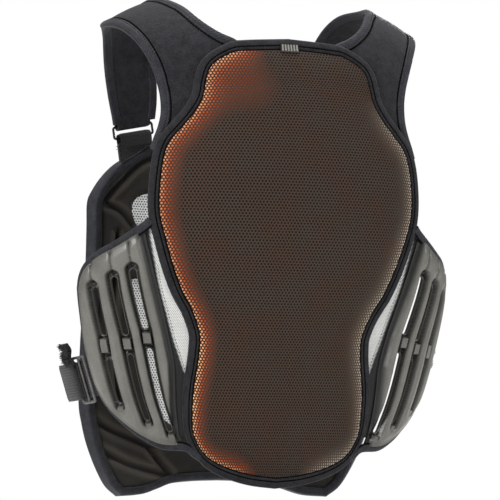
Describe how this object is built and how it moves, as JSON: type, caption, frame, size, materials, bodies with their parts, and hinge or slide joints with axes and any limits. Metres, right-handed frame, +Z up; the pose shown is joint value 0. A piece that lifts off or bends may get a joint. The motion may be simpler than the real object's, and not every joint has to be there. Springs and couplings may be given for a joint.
{
  "type": "motorcycle back and chest protector vest",
  "caption": "Worn-shape motocross protector vest: padded mesh-covered back plate on a neoprene harness, slotted plastic side wings, webbing straps and a foam-lined chest plate.",
  "frame": {"origin": "middle of the line over the two shoulders, where the vest hangs on the wearer", "axes": "+Z up, +Y the way the wearer faces, +X the wearer's right; the back plate is on the -Y side"},
  "size_m": [0.4172, 0.2592, 0.5292],
  "materials": {
    "neoprene": "soft knit-faced foam rubber, matt blue-black",
    "binding_tape": "folded knit tape, matt black",
    "impact_foam": "matt orange impact foam",
    "cover_mesh": "perforated mesh, dark brown-black",
    "woven_label": "woven",
    "white_mesh": "open white mesh",
    "moulded_wing": "satin moulded grey",
    "chest_foam": "embossed black foam",
    "white_shell": "smooth white, perforated",
    "black_ring": "satin black nylon",
    "grey_slide": "satin grey nylon",
    "webbing": "ribbed black webbing"
  },
  "bodies": {
    "back": {"back_liner": "neoprene", "back_impact_pad": "impact_foam", "back_mesh_cover": "cover_mesh", "back_binding": "neoprene", "label_tab": "woven_label", "shoulder_yoke_left": "neoprene", "shoulder_yoke_right": "neoprene", "neck_tape_left": "binding_tape", "neck_tape_right": "binding_tape", "armhole_tape_left": "binding_tape", "armhole_tape_right": "binding_tape", "side_mesh_left": "white_mesh", "side_mesh_right": "white_mesh"},
    "straps": {"shoulder_strap_left": "neoprene", "shoulder_strap_right": "neoprene", "strap_loop_left": "webbing", "strap_loop_right": "webbing", "shoulder_ring_left": "black_ring", "shoulder_ring_right": "black_ring"},
    "chest": {"chest_foam": "chest_foam", "chest_shell": "white_shell", "chest_tape": "binding_tape", "chest_webbing_left": "webbing", "chest_webbing_right": "webbing", "webbing_loop_left": "webbing", "webbing_loop_right": "webbing", "chest_tab_left": "webbing", "chest_tab_right": "webbing"},
    "wing_left": {"wing_shell_left": "moulded_wing", "wing_top_tape_left": "binding_tape", "wing_lower_tape_left": "binding_tape"},
    "slide_left": {"side_slide_left": "grey_slide", "wing_tab_left": "webbing"},
    "side_strap_left": {"side_strap_left": "webbing"},
    "wing_right": {"wing_shell_right": "moulded_wing", "wing_top_tape_right": "binding_tape", "wing_lower_tape_right": "binding_tape"},
    "slide_right": {"side_slide_right": "grey_slide", "wing_tab_right": "webbing"},
    "side_strap_right": {"side_strap_right": "webbing"}
  },
  "joints": [
    {"name": "shoulder_fold", "type": "hinge", "parent": "back", "child": "straps", "pos_m": [0, 0.0004, 0.007], "axis": [1, 0, 0], "range_deg": [0, 35]},
    {"name": "chest_swing", "type": "hinge", "parent": "straps", "child": "chest", "pos_m": [0, 0.08892, -0.13366], "axis": [1, 0, 0], "range_deg": [0, 12]},
    {"name": "wing_left_fold", "type": "hinge", "parent": "back", "child": "wing_left", "pos_m": [-0.1003, -0.05578, -0.48602], "axis": [-0.21, -0.1274, 0.9694], "range_deg": [0, 40]},
    {"name": "slide_left_swing", "type": "hinge", "parent": "wing_left", "child": "slide_left", "pos_m": [-0.17913, -0.01108, -0.40056], "axis": [-0.29, 0, 0.957], "range_deg": [0, 24]},
    {"name": "side_strap_left_swing", "type": "hinge", "parent": "slide_left", "child": "side_strap_left", "pos_m": [-0.19283, 0.02046, -0.40471], "axis": [-0.29, 0, 0.957], "range_deg": [0, 45]},
    {"name": "wing_right_fold", "type": "hinge", "parent": "back", "child": "wing_right", "pos_m": [0.1003, -0.05578, -0.48602], "axis": [-0.21, 0.1274, -0.9694], "range_deg": [0, 40]},
    {"name": "slide_right_swing", "type": "hinge", "parent": "wing_right", "child": "slide_right", "pos_m": [0.17913, -0.01108, -0.40056], "axis": [-0.29, 0, -0.957], "range_deg": [0, 24]},
    {"name": "side_strap_right_swing", "type": "hinge", "parent": "slide_right", "child": "side_strap_right", "pos_m": [0.19283, 0.02046, -0.40471], "axis": [-0.29, 0, -0.957], "range_deg": [0, 45]}
  ]
}
